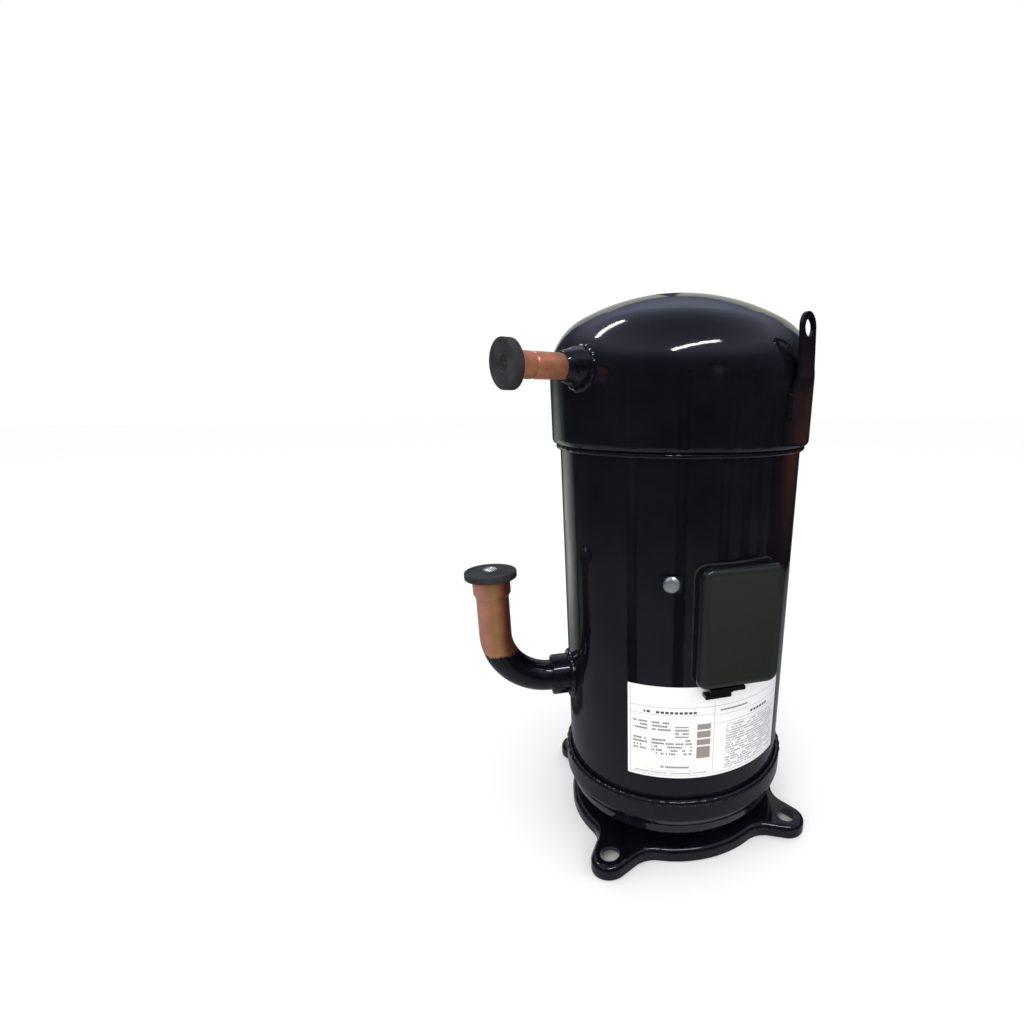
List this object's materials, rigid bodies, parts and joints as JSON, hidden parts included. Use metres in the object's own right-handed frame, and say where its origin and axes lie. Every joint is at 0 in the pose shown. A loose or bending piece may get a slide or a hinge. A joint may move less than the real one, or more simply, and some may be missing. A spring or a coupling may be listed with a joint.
{
  "type": "hermetic refrigeration scroll compressor",
  "caption": "Upright welded steel can with domed cap, eared foot plate, copper suction elbow, discharge stub, wiring cover and a motor-driven scroll set inside.",
  "frame": {"origin": "centre of the four foot holes, on the underside of the foot plate's web", "axes": "+Z along the shell and the motor shaft, upwards; -Y out of the wiring cover; -X towards the suction elbow"},
  "size_m": [0.2396, 0.1801, 0.3808],
  "materials": {
    "black_enamel": "glossy black enamel over pressed and rolled steel",
    "copper": "drawn copper tube, lightly oxidised; the elbow is painted black up to its upright leg",
    "black_rubber": "matt moulded rubber",
    "bright_pin": "bright rivet",
    "zinc": "zinc plated, lightly dulled",
    "cover_plastic": "satin moulded plastic with glossy edges",
    "label": null,
    "glass_seal": "fused glass",
    "terminal_metal": "plated steel",
    "block_plastic": "moulded phenolic",
    "lead_jacket": "woven lead jacket",
    "laminations": "electrical steel laminations",
    "liner_film": "polyester slot film",
    "winding": "enamelled copper wire, laced",
    "cage_aluminium": "die-cast",
    "machined_iron": "machined casting",
    "ground_steel": "ground and hardened steel",
    "bearing_bronze": "bronze bearing lining",
    "seal_polymer": "filled polymer seal",
    "magnet": "sintered ferrite"
  },
  "bodies": {
    "casing": {"shell_tube": "black_enamel", "bottom_cap": "black_enamel", "base_plate": "black_enamel", "top_cap": "black_enamel", "top_seam_weld": "black_enamel", "bottom_seam_weld": "black_enamel", "lifting_lug": "black_enamel", "suction_fitting": "black_enamel", "suction_elbow": "copper", "discharge_fitting": "black_enamel", "discharge_tube": "copper", "fitting_welds": "black_enamel", "terminal_cup": "terminal_metal", "terminal_glass_seals": "glass_seal", "terminal_pins": "terminal_metal", "terminal_block": "block_plastic", "terminal_fence": "black_enamel", "terminal_gasket": "black_rubber", "earth_bracket": "black_enamel", "earth_screw": "zinc", "nameplate": "label", "motor_connector": "block_plastic", "motor_leads": "lead_jacket", "stator_core": "laminations", "slot_liners": "liner_film", "stator_windings": "winding", "overload_protector": "block_plastic", "lower_bearing_bracket": "machined_iron", "lower_bearing_bush": "bearing_bronze", "thrust_washer": "ground_steel", "main_frame": "machined_iron", "main_bearing_bush": "bearing_bronze", "thrust_plate": "ground_steel", "fixed_scroll": "machined_iron", "fixed_tip_seal": "seal_polymer", "fixed_scroll_bolts": "ground_steel", "partition_plate": "ground_steel", "relief_valve": "ground_steel", "floating_seal": "seal_polymer", "valve_seat": "ground_steel", "valve_cage": "ground_steel", "sump_magnet": "magnet"},
    "rotor": {"rotor_core": "laminations", "rotor_cage": "cage_aluminium", "upper_counterweight": "machined_iron", "lower_counterweight": "machined_iron", "crankshaft": "ground_steel", "oil_pickup_tube": "ground_steel", "drive_bush": "ground_steel"},
    "scroll": {"orbiting_scroll": "machined_iron", "orbiting_tip_seal": "seal_polymer", "scroll_bush": "bearing_bronze"},
    "gallery_plug": {"oil_gallery_plug": "ground_steel"},
    "coupling_ring": {"oldham_ring": "machined_iron"},
    "check_valve": {"valve_disc": "ground_steel"},
    "wiring_cover": {"terminal_cover": "cover_plastic", "cable_outlet": "cover_plastic"},
    "suction_cap": {"suction_plug": "black_rubber", "suction_plug_pin": "bright_pin"},
    "discharge_cap": {"discharge_plug": "black_rubber"}
  },
  "joints": [
    {"name": "shaft_spin", "type": "hinge", "parent": "casing", "child": "rotor", "pos_m": [0, 0, 0.1177], "axis": [0, 0, 1], "continuous": true},
    {"name": "scroll_orbit", "type": "hinge", "parent": "rotor", "child": "scroll", "pos_m": [0.004, 0, 0.2447], "axis": [0, 0, 1], "continuous": true},
    {"name": "gallery_plug_turn", "type": "hinge", "parent": "rotor", "child": "gallery_plug", "pos_m": [0.002, 0, 0.2477], "axis": [0, 0, 1], "continuous": true},
    {"name": "ring_slide", "type": "hinge", "parent": "gallery_plug", "child": "coupling_ring", "pos_m": [0.004, 0, 0.2507], "axis": [0, 0, 1], "continuous": true},
    {"name": "valve_lift", "type": "slide", "parent": "casing", "child": "check_valve", "axis": [0, 0, 1], "range_m": [0, 0.003]},
    {"name": "cover_pull", "type": "slide", "parent": "casing", "child": "wiring_cover", "axis": [0, -1, 0], "range_m": [0, 0.06]},
    {"name": "suction_plug_pull", "type": "slide", "parent": "casing", "child": "suction_cap", "axis": [0, 0, 1], "range_m": [0, 0.03]},
    {"name": "discharge_plug_pull", "type": "slide", "parent": "casing", "child": "discharge_cap", "axis": [-0.8829, -0.4695, 0], "range_m": [0, 0.03]}
  ],
  "couplings": [
    {"joint": "scroll_orbit", "follows": "shaft_spin", "ratio": -1},
    {"joint": "gallery_plug_turn", "follows": "shaft_spin", "ratio": -2},
    {"joint": "ring_slide", "follows": "shaft_spin", "ratio": 1}
  ]
}
